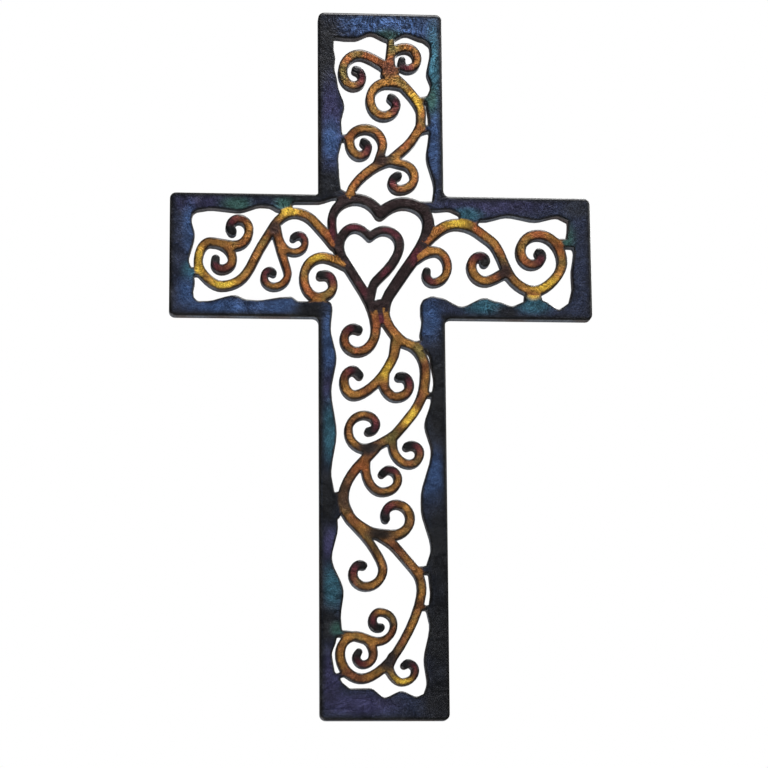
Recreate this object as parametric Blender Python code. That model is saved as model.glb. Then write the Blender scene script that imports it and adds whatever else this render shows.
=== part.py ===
"""Steel wall cross cut from one flat plate: a rippled frame filled with scrolls and two hearts.

The drawing is in millimetres, x to the right and z up from the middle of the top edge. The
plate stands in the XZ plane with its front towards -Y and its back, which lies on the wall,
at y = 0. The origin is on the back of the top rail, where the cross hangs.
"""
import math

import bmesh
import bpy
import numpy as np

MM = 0.001

# Sizes of the plate.
HEIGHT = 381.0
SPAN = 225.0
BAR = 67.0
ARM_TOP = 102.0
THICKNESS = 6.35
HANG_BELOW_TOP = 6.0
CORNER_RADIUS = 3.2
SHARP_CORNER_RADIUS = 1.6
SHARP_CORNERS = ((-BAR / 2, -ARM_TOP),)
CORNER_PIECES = 5

# Fineness of the outline. Distances are kept on a grid of cells as far as the reach.
CELL = 0.4
REACH = 1.2
CURVE_STEP = 0.8
FEWEST_STEPS = 3
SPACING = 0.5
SOFTENING_PASSES = 3
TOLERANCE = 0.07
SMALLEST_OPENING = 2.0

# Shape of a scroll between two points: lengths of the Bezier handles as shares of the distance
# between them, and the turns in degrees between which the handles follow the tangents instead.
PLAIN_HANDLE = 0.36
SHORTEST_HANDLE = 0.05
LONGEST_HANDLE = 0.9
LEAST_TURN = 4
MOST_TURN = 165

SHAFT_EDGE = BAR / 2
ARM_END = SPAN / 2
ARM_BOTTOM = ARM_TOP + BAR

E, N, W, S = 0, 90, 180, 270

# Each scroll is (half widths along its length, points it passes as x, z and heading in degrees).
CROWN = {
    "post": ((2.4, 1.7), [(5.5, -27, N), (6.1, -12, 88)]),
    "coil": ((2.5, 2.5, 2.1), [(6.5, -35, 100), (5.4, -25, 88), (13.8, -18.7, E), (20.2, -25.2, S),
                               (14.7, -30.7, W), (11.5, -27.8, N), (11.8, -26, N)]),
    "west": ((2.7, 2.6, 2.5, 2.1), [(8, -32.2, 160), (-2, -26.5, 150), (-11, -23, W), (-20.3, -33, S),
                                    (-14.4, -40.9, E), (-9.7, -36.4, N), (-13.5, -31.8, W)]),
    "inner": ((2.7, 2.5, 2.5, 2.4), [(11, -39.5, 165), (4, -38.7, W), (-5.5, -48.3, S), (1.6, -57.4, E),
                                     (8.6, -51, N), (5.8, -47.2, 150)]),
    "stem": ((2.8, 2.6, 2.5, 2.7), [(3, -33.5, -20), (13.6, -41.3, -47), (22.05, -55, -88),
                                    (21.8, -61, -97), (16.5, -71.3, -126), (6.3, -81.3, -135)]),
    "left": ((2.4, 2.4, 2.5, 2.3), [(-2, -84.5, 70), (1.2, -74, N), (-8, -64.6, W), (-16.7, -71.8, S),
                                    (-11.3, -79.8, E), (-6.9, -75.2, N), (-9.1, -72.2, 150)]),
    "right": ((2, 2.4, 2.4, 2.3), [(1, -81.9, 2), (11.5, -84, -5), (18.1, -91.5, S), (9.8, -98.3, W),
                                   (5.9, -94.3, N), (9.2, -90.6, 20)]),
    "tail": ((2.4, 2.5), [(8, -82, W), (-2.3, -85.3, 210), (-9.3, -90.6, 222), (-15.2, -97.7, 238),
                          (-16.8, -104, 255)]),
}

HEARTS = {
    "right lobe": ((3.1, 3.1, 3.2, 2.9), [(-0.6, -112, 46), (12, -105.7, E), (25.4, -117, S),
                                          (15.3, -139.1, 234), (4.8, -154.7, 236), (1.3, -166, 268)]),
    "left lobe": ((3, 2.6, 2.2, 2.6, 2.5), [(-0.8, -111.8, 118), (-13.2, -103.8, W), (-26.3, -116, S),
                                            (-22.1, -134, 300), (-12.5, -149.7, 302), (-4.7, -166, 282)]),
    "root": ((3.2, 2.6), [(-1.6, -162, 275), (0, -170, 275)]),
    "inner right lobe": ((2.1, 2.5, 2.5, 2.4), [(-6.2, -124.8, 46), (1.2, -120.8, E), (9.8, -128.8, S),
                                                (3.3, -142.2, 230), (-4, -150, 234), (-5.9, -158, 262)]),
    "inner left lobe": ((2, 2.5, 2.4), [(-6.2, -124.8, 126), (-14.2, -119.6, W), (-22.3, -130.5, S),
                                        (-19.9, -138, 300)]),
}

LEFT_ARM = {
    "vine": ((2.8, 2.4, 2.5, 2.5, 2.4, 2.4), [(-25.4, -129, 125), (-35.8, -116.7, 133), (-46, -111.8, W),
                                              (-57.2, -119.2, 238), (-64.4, -131.3, 240),
                                              (-72.2, -146, 234), (-85, -152.4, W), (-93, -148.1, 135),
                                              (-97.3, -139.5, N), (-91, -128.6, E), (-79.1, -138, S),
                                              (-84.9, -143.5, W), (-88.4, -140.3, N), (-88.1, -138, 70)]),
    "upper hook": ((2.4, 2.5, 2.3, 2.5), [(-90, -128.8, E), (-78, -130.4, E), (-70.4, -121.5, N),
                                          (-76, -115.8, W), (-80.6, -120.6, S), (-79.4, -122.8, -55)]),
    "inner hook": ((2.2, 1.9, 1.9, 1.9), [(-55.8, -120, 285), (-53.5, -128.5, 296), (-46.5, -133.6, E),
                                          (-40.6, -128.3, N), (-43.8, -124.1, W), (-47.1, -125.8, 235)]),
    "drop": ((2.7, 2.2, 2, 2), [(-56.2, -120, 280), (-53.1, -134, 288), (-49.8, -145, S),
                                (-57.3, -152.6, W), (-62.5, -147.6, N), (-59.3, -143.8, E),
                                (-57.6, -145.1, -55)]),
    "coil": ((2.6, 2.5, 2.5, 2.4), [(-20, -140, 152), (-31, -136, W), (-41.4, -147.3, S), (-33.8, -158, E),
                                    (-25.8, -151.5, N), (-30, -145.7, W), (-32.6, -146.1, 190)]),
}

RIGHT_ARM = {
    "vine": ((3, 2.7, 2.6, 2.7, 2.7, 2.6), [(23, -127.6, 45), (31.5, -120, 35), (40, -116.9, E),
                                            (51.3, -120.4, -35), (60.1, -127.2, -48), (65.5, -137.8, -70),
                                            (70.5, -147.3, -48), (81.5, -153, E), (91.5, -147.8, 45),
                                            (97.1, -137, N), (84.2, -122.1, W), (74.7, -131.5, S),
                                            (80.6, -138.6, E), (86, -134, N), (84.6, -132.2, W)]),
    "coil": ((2.9, 2.6, 2.6, 2.5), [(67, -142.5, 215), (55.5, -148.1, W), (48.1, -140, N),
                                    (53, -134.5, E), (55.8, -137.3, S), (55.2, -138, 240)]),
    "hook": ((3.6, 2.4, 2.3, 2.3, 2.3), [(19, -135, 38), (28.4, -131.9, E), (35.4, -140.5, S),
                                         (27.5, -149.2, W), (23.8, -145, N), (24.1, -143.2, 80)]),
}

SHAFT = {
    "first hook": ((2.6, 2.6, 2.4, 2.4), [(-4.4, -166, 282), (-3.2, -174.4, S), (-13.2, -187.3, W),
                                          (-20.1, -180.3, N), (-14.9, -174.5, E), (-12.5, -175.4, -20)]),
    "stem": ((2.7, 2.6, 2.7, 2.7, 2.5, 2.1, 2.2), [(1.3, -164, 268), (5.5, -175.8, -52),
                                                   (12.7, -182.3, -15), (22.9, -197.5, S),
                                                   (21.1, -210.3, 252), (14.8, -221.7, 231),
                                                   (6.8, -231.3, 225), (-1.8, -236.7, 208),
                                                   (-9.5, -239.1, W), (-18.1, -229.6, N),
                                                   (-9.6, -221.1, E), (-3.4, -226.4, S),
                                                   (-7.6, -230, W)]),
    "branch": ((2.9, 2.4, 2.6, 2.3), [(7.6, -180.5, 262), (6.3, -189, 248), (1.4, -198, 236),
                                      (-5.8, -206.2, 220), (-15, -210.7, W), (-20.3, -203, N),
                                      (-15.3, -197.2, E), (-12.1, -200, -55)]),
    "upper right hook": ((2.6, 2.5, 2.4), [(1.2, -199, 265), (1.2, -206.5, 293), (7.2, -211.5, E),
                                           (14.4, -205.4, N), (10.4, -200.3, W), (8.8, -200.6, 190)]),
    "lower right hook": ((2.3, 2.3, 2.3), [(5.4, -232, 265), (5.6, -240.2, 288), (14, -247.3, E),
                                           (19.5, -241.2, N), (14.9, -237.1, W), (12.6, -238, 205)]),
    "second stem": ((2.6, 2.6, 3, 2.8, 2.4, 2.3), [(-3.5, -238.6, 230), (-12.5, -247.9, 227),
                                                   (-19, -257.4, 245), (-20.9, -266, S),
                                                   (-17.6, -275.6, 300), (-9, -282.4, -30),
                                                   (5, -284.8, E), (14.1, -276, N), (6.7, -268.5, W),
                                                   (0.8, -274.5, S), (1.2, -276.4, S)]),
    "curl": ((2.4, 2.3, 2.2, 2.1), [(-8.7, -243, 262), (-8.9, -252, 278), (-0.4, -262.1, E), (7.9, -255.5, N),
                                    (2.8, -250.2, W), (-0.6, -252.6, 228)]),
    "left hook": ((2.5, 2.1, 2.3, 2.4, 2.3), [(-16, -278, -52), (-7.5, -288.3, -55), (-0.3, -302.5, S),
                                              (-9.2, -311.8, W), (-16.1, -305.3, N), (-12.2, -300.3, E),
                                              (-10.8, -300.9, -15)]),
}

FOOT = {
    "stem": ((2.6, 2.4, 2.3, 2.6, 2.4, 2), [(-3, -284.5, -30), (5.2, -290.1, -43), (12.4, -298.3, -50),
                                            (18.3, -306, -66), (19.8, -313, S), (15.7, -328.7, 248),
                                            (9.9, -340.3, 240), (2.9, -350.4, 228), (-11.7, -359.5, W),
                                            (-22.9, -346.7, N), (-14.5, -337.4, E), (-5.6, -346.8, S),
                                            (-10.9, -352.3, W), (-14.6, -348.3, N), (-13.3, -345.8, 62)]),
    "upper curl": ((2.6, 2.1, 1.8, 2.1, 2.3), [(-13, -338, -10), (-3.5, -340.3, E), (5.1, -331.5, N),
                                               (-2.1, -324.9, W), (-6.1, -329.8, S), (-3.5, -333.3, E),
                                               (-1.9, -333.1, 20)]),
    "right hook": ((2.5, 2.1, 1.9, 2.1), [(4.3, -348, 262), (2.6, -355, 290), (9.2, -361.3, E),
                                          (16, -355.4, N), (12, -351.4, W), (10.4, -352.6, 215)]),
}

# Short bridges that join the scrolls to the frame.
BRIDGES = {
    "left of crown": ((1.5, 1.5), [(-24, -70.1, E), (-17, -69.8, E)]),
    "crown stem above": ((1.5, 1.9), [(22.5, -48, E), (30, -47.2, E)]),
    "crown stem below": ((2.6, 1.2), [(20.5, -64.6, E), (29, -63.7, E)]),
    "heart, left": ((3, 2.4), [(-21.5, -101.9, 280), (-21, -105, 280)]),
    "heart, right": ((2.3, 2.3), [(20, -107.2, E), (31, -107.2, E)]),
    "left vine": ((3.6, 3.6), [(-51, -109.5, N), (-51, -106, N)]),
    "left vine end": ((2.1, 2.1), [(-105, -145.2, E), (-97, -144.8, E)]),
    "left coil": ((1.6, 1.6), [(-38, -161.5, E), (-29.5, -161.5, E)]),
    "right vine": ((5.4, 5.4), [(47.5, -114, N), (47.5, -108.5, N)]),
    "right vine below": ((4.6, 5), [(81, -157, S), (81, -162, S)]),
    "right vine end": ((2.3, 2.3), [(96, -126.6, E), (106, -126.8, E)]),
    "shaft stem above": ((2.2, 3), [(16, -183.5, -10), (25, -183, E)]),
    "shaft stem below": ((1.35, 1.35), [(22, -210, E), (30, -210.2, E)]),
    "second stem": ((2.2, 2.2), [(-24.3, -264.5, S), (-24.3, -274, S)]),
    "foot stem above": ((2, 2.3), [(18, -303.3, E), (26, -303, E)]),
    "foot stem below": ((1.3, 1.3), [(18, -322.7, E), (27, -323, E)]),
    "foot ring above": ((1.4, 2), [(-26, -336.2, E), (-18, -336.8, -10)]),
    "foot ring below": ((1.3, 1.3), [(-27, -359, 20), (-21.5, -357.2, 20)]),
}

# Rippled inner edges of the frame, clockwise from the top left corner of the opening. Each is
# (axis it runs along, place of the plate's outer edge, side on which the rail lies, stations as
# place along the axis and width of the rail there).
RAILS = [
    ("x", 0, 1, [(-25, 13.9), (-19, 14.5), (-14, 14.5), (-5, 11.3), (4, 14.8), (6, 14.8), (14, 11.4),
                 (23, 14.2), (26.8, 16.8)]),
    ("z", SHAFT_EDGE, 1, [(-17, 6.6), (-20, 6.2), (-33, 8.3), (-40, 6.2), (-48, 8.7), (-60, 7.5),
                          (-66, 7.3), (-79, 8.9), (-97, 5), (-103.5, 5.8), (-110, 5.2)]),
    ("x", -ARM_TOP, 1, [(28.4, 7.8), (36, 7.1), (44, 10), (55, 12.8), (68, 10), (83, 12.4), (95, 10),
                        (100.6, 12.4)]),
    ("z", ARM_END, 1, [(-114, 11.9), (-118, 12), (-124, 12.8), (-131, 8.9), (-143, 10.5), (-151, 10.2),
                       (-158, 11.6), (-160.5, 13.2)]),
    ("x", -ARM_BOTTOM, -1, [(99.3, 8.5), (94.6, 5.8), (86, 10.5), (76, 9.6), (69.5, 7.3), (62, 9.6),
                            (55, 11.6), (42.5, 6.7), (31, 11.4), (27, 12.2), (22, 10.5)]),
    ("z", SHAFT_EDGE, 1, [(-158.5, 11.5), (-161, 12.8), (-166, 12.9), (-170, 12.2), (-178, 13.4),
                          (-184, 11), (-190, 8), (-203, 6.2), (-212, 7.6), (-226, 11.2), (-240, 7.9),
                          (-265, 13.5), (-270, 13.5), (-292, 8.6), (-301, 10.9), (-306, 9.9), (-315, 9.1),
                          (-320, 9.6), (-324, 11.2), (-332, 9.7), (-350, 12.8), (-362, 11.4),
                          (-367, 12.8)]),
    ("x", -HEIGHT, -1, [(20.3, 13.6), (16.8, 12.2), (8.7, 15.1), (0, 11.8), (-7.5, 16.6), (-16, 16.4)]),
    ("z", -SHAFT_EDGE, -1, [(-364.6, 15), (-361, 11.2), (-358.5, 10), (-356, 7.6), (-347, 6.3), (-340, 8.5),
                            (-334, 11.5), (-328, 11), (-315, 12.5), (-297, 6.5), (-281, 9.7),
                            (-262.5, 7.8), (-253, 6.3), (-231, 9.2), (-209, 6.5), (-191, 9.3),
                            (-175, 6.3), (-164, 7.3), (-161, 6.6)]),
    ("x", -ARM_BOTTOM, -1, [(-28, 8.6), (-36, 8.4), (-44.5, 8.5), (-48, 11), (-51, 10.8), (-66, 8.7),
                            (-71, 9),
                            (-78, 11.4), (-93, 8), (-97.5, 7.9)]),
    ("z", -ARM_END, -1, [(-159, 13), (-156, 12.7), (-151, 13.6), (-147, 12.9), (-139, 10.3),
                         (-125, 13.4), (-117, 11.6), (-113, 12.3)]),
    ("x", -ARM_TOP, 1, [(-98, 9.4), (-91, 8.4), (-76, 9.7), (-64, 6.5), (-60, 6.7), (-55, 9.1),
                        (-46, 4.4), (-34, 4.3), (-24.5, 1.8)]),
    ("z", -SHAFT_EDGE, -1, [(-99, 11.9), (-92, 11.2), (-82, 10.7), (-70, 12.9), (-62, 12.3),
                            (-53, 14.1), (-40, 10.4), (-31, 8.7), (-26, 9.3), (-20, 8.3),
                            (-16, 8.5)]),
]

STEEL = {"name": "patinated_steel", "colour": (0.24, 0.17, 0.13, 1.0), "metallic": 0.8, "roughness": 0.35}


def direction(heading):
    """Unit vector of a heading in degrees."""
    return math.cos(math.radians(heading)), math.sin(math.radians(heading))


def handle_lengths(start, end):
    """Lengths of the two Bezier handles between two points with headings.

    Where the tangents meet ahead the piece becomes a quarter of an ellipse or the like. Where
    they don't, as in an S bend, both handles are a fixed share of the distance.
    """
    (x0, z0, h0), (x1, z1, h1) = start, end
    chord = math.hypot(x1 - x0, z1 - z0)
    turn = abs((h1 - h0 + 180) % 360 - 180)
    if not LEAST_TURN < turn < MOST_TURN:
        return PLAIN_HANDLE * chord, PLAIN_HANDLE * chord
    (ax, az), (bx, bz) = direction(h0), direction(h1)
    cross = ax * bz - az * bx
    ahead = ((x1 - x0) * bz - (z1 - z0) * bx) / cross
    behind = (ax * (z1 - z0) - az * (x1 - x0)) / cross
    if min(ahead, behind) < SHORTEST_HANDLE * chord:
        return PLAIN_HANDLE * chord, PLAIN_HANDLE * chord
    share = 4 / 3 * math.tan(math.radians(turn) / 4) / math.tan(math.radians(turn) / 2)
    return min(share * ahead, LONGEST_HANDLE * chord), min(share * behind, LONGEST_HANDLE * chord)


def bezier(start, end):
    """Points from the start up to, but not with, the end of one piece of a scroll."""
    first, last = handle_lengths(start, end)
    (ax, az), (bx, bz) = direction(start[2]), direction(end[2])
    corners = (start[:2], (start[0] + first * ax, start[1] + first * az),
               (end[0] - last * bx, end[1] - last * bz), end[:2])
    count = max(FEWEST_STEPS, round(math.dist(start[:2], end[:2]) / CURVE_STEP))
    points = []
    for i in range(count):
        t = i / count
        shares = ((1 - t) ** 3, 3 * t * (1 - t) ** 2, 3 * t * t * (1 - t), t ** 3)
        points.append(tuple(sum(s * c[axis] for s, c in zip(shares, corners)) for axis in (0, 1)))
    return points


def centre_line(nodes):
    """The middle line of a scroll."""
    points = []
    for start, end in zip(nodes, nodes[1:]):
        points += bezier(start, end)
    return points + [nodes[-1][:2]]


def half_widths(points, widths):
    """Half width at each point of a middle line, with the given ones spread evenly along it."""
    steps = [math.dist(a, b) for a, b in zip(points, points[1:])]
    travelled = np.concatenate(([0.0], np.cumsum(steps)))
    return np.interp(travelled / travelled[-1], np.linspace(0, 1, len(widths)), widths)


def rail_edge(axis, base, side, stations):
    """One rippled inner edge of the frame, which swings smoothly from station to station."""
    points = []
    for (s0, w0), (s1, w1) in zip(stations, stations[1:]):
        count = max(FEWEST_STEPS, round(abs(s1 - s0) / CURVE_STEP))
        for i in range(count + 1):
            t = i / count
            place = s0 + (s1 - s0) * t
            edge = base - side * (w0 + (w1 - w0) * t * t * (3 - 2 * t))
            points.append((place, edge) if axis == "x" else (edge, place))
    return points


def opening():
    """The whole opening of the frame as one closed outline."""
    return [point for rail in RAILS for point in rail_edge(*rail)]


def rounded_corner(before, corner, after, radius):
    """Arc that rounds one square corner."""
    back = [(b - c) / math.dist(before, corner) for b, c in zip(before, corner)]
    on = [(a - c) / math.dist(after, corner) for a, c in zip(after, corner)]
    arc = []
    for i in range(CORNER_PIECES + 1):
        t = i / CORNER_PIECES * math.pi / 2
        arc.append(tuple(c + radius * (b + o - o * math.cos(t) - b * math.sin(t))
                         for c, b, o in zip(corner, back, on)))
    return arc


def cross_outline():
    """Outer edge of the plate, a plain cross with rounded corners."""
    half = [(SHAFT_EDGE, 0), (SHAFT_EDGE, -ARM_TOP), (ARM_END, -ARM_TOP), (ARM_END, -ARM_BOTTOM),
            (SHAFT_EDGE, -ARM_BOTTOM), (SHAFT_EDGE, -HEIGHT)]
    corners = half + [(-x, z) for x, z in reversed(half)]
    outline = []
    for i, corner in enumerate(corners):
        radius = SHARP_CORNER_RADIUS if corner in SHARP_CORNERS else CORNER_RADIUS
        outline += rounded_corner(corners[i - 1], corner, corners[(i + 1) % len(corners)], radius)
    return outline


class Plan:
    """Distance to the metal, negative inside it, on a grid over the drawing."""

    def __init__(self):
        self.xs = np.arange(-ARM_END, ARM_END + CELL, CELL)
        self.zs = np.arange(-HEIGHT, CELL, CELL)
        self.far = np.full((len(self.zs), len(self.xs)), REACH)

    def window(self, a, b, margin):
        """Part of the grid round a stretch from a to b, with the coordinates in it."""
        low = [min(p, q) - margin for p, q in zip(a, b)]
        high = [max(p, q) + margin for p, q in zip(a, b)]
        columns = slice(*np.searchsorted(self.xs, (low[0], high[0])))
        rows = slice(*np.searchsorted(self.zs, (low[1], high[1])))
        x, z = np.meshgrid(self.xs[columns], self.zs[rows])
        return (rows, columns), x, z

    def stretch(self, a, b, wide_a, wide_b):
        """Add a straight stretch with round ends."""
        where, x, z = self.window(a, b, max(wide_a, wide_b) + REACH)
        dx, dz = b[0] - a[0], b[1] - a[1]
        t = np.clip(((x - a[0]) * dx + (z - a[1]) * dz) / (dx * dx + dz * dz), 0, 1)
        gap = np.hypot(x - a[0] - t * dx, z - a[1] - t * dz) - (wide_a + t * (wide_b - wide_a))
        self.far[where] = np.minimum(self.far[where], gap)

    def scroll(self, widths, nodes):
        """Add a whole scroll."""
        points = centre_line(nodes)
        wide = half_widths(points, widths)
        for i in range(len(points) - 1):
            self.stretch(points[i], points[i + 1], wide[i], wide[i + 1])

    def frame(self, outline):
        """Fill everything outside the opening."""
        edges = [(a, b) for a, b in zip(outline, outline[1:] + outline[:1]) if a != b]
        inside = np.zeros(self.far.shape, bool)
        for a, b in edges:
            where, x, z = self.window(a, b, REACH)
            dx, dz = b[0] - a[0], b[1] - a[1]
            t = np.clip(((x - a[0]) * dx + (z - a[1]) * dz) / (dx * dx + dz * dz), 0, 1)
            gap = np.hypot(x - a[0] - t * dx, z - a[1] - t * dz)
            self.far[where] = np.minimum(self.far[where], gap)
            for row in np.nonzero((a[1] > self.zs) != (b[1] > self.zs))[0]:
                inside[row] ^= self.xs < a[0] + dx * (self.zs[row] - a[1]) / dz
        self.far = np.where(inside, self.far, -self.far)

    def openings(self):
        """Closed outlines of all openings that are left in the metal."""
        metal = self.far < 0
        corners = metal[:-1, :-1].astype(int) + metal[1:, :-1] + metal[:-1, 1:] + metal[1:, 1:]
        follows = {}
        for row, column in zip(*np.nonzero((corners > 0) & (corners < 4))):
            a, b = (row, column), (row, column + 1)
            c, d = (row + 1, column + 1), (row + 1, column)
            for triangle in ((a, b, c), (a, c, d)):
                ends = {}
                for p, q in zip(triangle, triangle[1:] + triangle[:1]):
                    if metal[p] != metal[q]:
                        ends[bool(metal[p])] = (min(p, q), max(p, q))
                if ends:
                    follows[ends[True]] = ends[False]
        loops = []
        while follows:
            first, side = follows.popitem()
            loop = [self.crossing(first)]
            while side != first:
                loop.append(self.crossing(side))
                side = follows.pop(side)
            loops.append(loop)
        return loops

    def crossing(self, side):
        """Place on one side of a grid cell where the metal begins."""
        p, q = side
        share = self.far[p] / (self.far[p] - self.far[q])
        x = self.xs[p[1]] + share * (self.xs[q[1]] - self.xs[p[1]])
        z = self.zs[p[0]] + share * (self.zs[q[0]] - self.zs[p[0]])
        return x, z


def area(loop):
    """Area inside a closed outline."""
    x, z = np.array(loop).T
    return abs(np.dot(x, np.roll(z, -1)) - np.dot(z, np.roll(x, -1))) / 2


def softened(loop):
    """An outline spaced evenly with its sharp inner corners rounded, as a torch leaves them."""
    points = np.array(loop + loop[:1])
    travelled = np.concatenate(([0.0], np.cumsum(np.hypot(*np.diff(points, axis=0).T))))
    places = np.linspace(0, travelled[-1], round(travelled[-1] / SPACING), endpoint=False)
    even = np.column_stack([np.interp(places, travelled, points[:, axis]) for axis in (0, 1)])
    for _ in range(SOFTENING_PASSES):
        even = (np.roll(even, 1, axis=0) + 2 * even + np.roll(even, -1, axis=0)) / 4
    return even


def thinned(points):
    """The fewest points of an outline from which none of it is further off than the tolerance."""
    ring = np.vstack([points, points[:1]])
    kept = [0]
    end = 2
    while end < len(ring):
        a, b = ring[kept[-1]], ring[end]
        between = ring[kept[-1] + 1:end] - a
        chord = (b - a) / np.hypot(*(b - a))
        if np.max(np.abs(between @ np.array((-chord[1], chord[0])))) > TOLERANCE:
            kept.append(end - 1)
        end += 1
    return ring[kept]


def outlines():
    """All outlines of the plate, the outer edge first."""
    plan = Plan()
    plan.frame(opening())
    for group in (CROWN, HEARTS, LEFT_ARM, RIGHT_ARM, SHAFT, FOOT, BRIDGES):
        for widths, nodes in group.values():
            plan.scroll(widths, nodes)
    inner = [thinned(softened(loop)) for loop in plan.openings() if area(loop) > SMALLEST_OPENING]
    return [cross_outline()] + inner


def plate_mesh(name):
    """The plate as one closed mesh, filled between its outlines and given its thickness."""
    bm = bmesh.new()
    for outline in outlines():
        verts = [bm.verts.new((x * MM, -THICKNESS * MM, (z + HANG_BELOW_TOP) * MM)) for x, z in outline]
        for a, b in zip(verts, verts[1:] + verts[:1]):
            bm.edges.new((a, b))
    bmesh.ops.triangle_fill(bm, use_beauty=True, edges=bm.edges[:])
    grown = bmesh.ops.extrude_face_region(bm, geom=bm.faces[:])["geom"]
    back = [item for item in grown if isinstance(item, bmesh.types.BMVert)]
    bmesh.ops.translate(bm, vec=(0, THICKNESS * MM, 0), verts=back)
    bmesh.ops.recalc_face_normals(bm, faces=bm.faces[:])
    mesh = bpy.data.meshes.new(name)
    bm.to_mesh(mesh)
    bm.free()
    return mesh


def steel_material():
    """Plain patinated steel."""
    material = bpy.data.materials.new(STEEL["name"])
    material.use_nodes = True
    shader = material.node_tree.nodes["Principled BSDF"]
    shader.inputs["Base Color"].default_value = STEEL["colour"]
    shader.inputs["Metallic"].default_value = STEEL["metallic"]
    shader.inputs["Roughness"].default_value = STEEL["roughness"]
    return material


def build():
    """Make the cross."""
    for old in list(bpy.data.objects):
        bpy.data.objects.remove(old)
    mesh = plate_mesh("steel_cross_plate")
    mesh.materials.append(steel_material())
    plate = bpy.data.objects.new("steel_cross_plate", mesh)
    bpy.context.scene.collection.objects.link(plate)


build()
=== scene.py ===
"""Looks of the steel wall cross: a dyed, ground and clear-coated plate in a plain studio.

Plans are in millimetres, x to the right and z up from the middle of the top edge, as the plate
was drawn. Everything that is built is in metres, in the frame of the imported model.
"""
import logging
import math
from dataclasses import dataclass
from enum import Enum
from typing import Any, Union

import bmesh
import bpy
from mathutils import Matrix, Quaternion, Vector, noise
from mathutils.bvhtree import BVHTree
from mathutils.kdtree import KDTree


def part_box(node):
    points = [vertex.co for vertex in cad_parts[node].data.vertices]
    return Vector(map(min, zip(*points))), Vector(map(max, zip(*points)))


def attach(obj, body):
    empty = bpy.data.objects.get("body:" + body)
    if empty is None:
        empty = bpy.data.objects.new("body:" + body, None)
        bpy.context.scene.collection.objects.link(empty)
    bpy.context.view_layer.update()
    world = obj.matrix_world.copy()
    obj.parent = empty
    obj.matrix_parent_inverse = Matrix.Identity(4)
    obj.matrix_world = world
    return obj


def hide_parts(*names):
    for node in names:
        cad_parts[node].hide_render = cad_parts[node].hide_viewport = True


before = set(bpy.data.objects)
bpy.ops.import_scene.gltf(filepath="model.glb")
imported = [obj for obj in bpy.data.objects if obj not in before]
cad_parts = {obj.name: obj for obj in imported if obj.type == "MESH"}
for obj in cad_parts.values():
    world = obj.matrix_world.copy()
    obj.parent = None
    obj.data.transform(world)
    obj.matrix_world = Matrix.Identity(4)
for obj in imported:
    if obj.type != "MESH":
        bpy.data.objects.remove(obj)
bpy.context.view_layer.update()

LOG = logging.getLogger("cross")

MM = 0.001
NODE = "steel_cross_plate"
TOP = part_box(NODE)[1].z
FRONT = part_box(NODE)[0].y
E, N, W, S = 0, 90, 180, 270

Value = Union["Sock", float]


class Zone(Enum):
    """What a place on the front of the plate belongs to."""

    FRAME = "frame"
    SCROLL = "scroll"
    HEART = "heart"


class Dye(Enum):
    """Dyes on the steel, as linear red, green and blue."""

    INK = (0.005, 0.006, 0.014)
    NAVY = (0.012, 0.020, 0.060)
    COBALT = (0.018, 0.052, 0.150)
    VIOLET = (0.026, 0.022, 0.085)
    TEAL = (0.014, 0.085, 0.125)
    SEA = (0.016, 0.070, 0.055)
    CHARCOAL = (0.008, 0.009, 0.013)
    GOLD = (0.340, 0.145, 0.018)
    YELLOW = (0.620, 0.370, 0.026)
    AMBER = (0.280, 0.072, 0.010)
    OLIVE = (0.150, 0.115, 0.018)
    UMBER = (0.085, 0.036, 0.014)
    RUST = (0.150, 0.034, 0.012)
    MAROON = (0.034, 0.009, 0.010)
    CRIMSON = (0.120, 0.006, 0.020)
    SOOT = (0.008, 0.006, 0.008)


@dataclass(frozen=True)
class Route:
    """Middle line of one scroll, from where it grows to its end, as x, z and heading.

    A tipped one ends free, in red and soot. The others run on into the frame or a scroll.
    """

    name: str
    zone: Zone
    nodes: tuple[tuple[float, float, float], ...]
    tipped: bool = True

    def points(self) -> list[tuple[float, float]]:
        """Places along the middle line, half a millimetre apart or less.

        Returns:
            Plan places from the root to the tip.
        """
        handle, step = 0.39, 0.5
        places = []
        for (x0, z0, h0), (x1, z1, h1) in zip(self.nodes, self.nodes[1:]):
            chord = math.hypot(x1 - x0, z1 - z0)
            reach = handle * chord
            ax, az = x0 + reach * math.cos(math.radians(h0)), z0 + reach * math.sin(math.radians(h0))
            bx, bz = x1 - reach * math.cos(math.radians(h1)), z1 - reach * math.sin(math.radians(h1))
            count = max(2, math.ceil(chord / step))
            for i in range(count):
                t = i / count
                k = ((1 - t) ** 3, 3 * t * (1 - t) ** 2, 3 * t * t * (1 - t), t ** 3)
                places.append((k[0] * x0 + k[1] * ax + k[2] * bx + k[3] * x1,
                               k[0] * z0 + k[1] * az + k[2] * bz + k[3] * z1))
        return places + [self.nodes[-1][:2]]


@dataclass(frozen=True)
class Spray:
    """One soft spot of dye: its middle, its radii across and up, and how bright it is ground."""

    x: float
    z: float
    wide: float
    tall: float
    dye: Dye
    ground: float = 0.6


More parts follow.
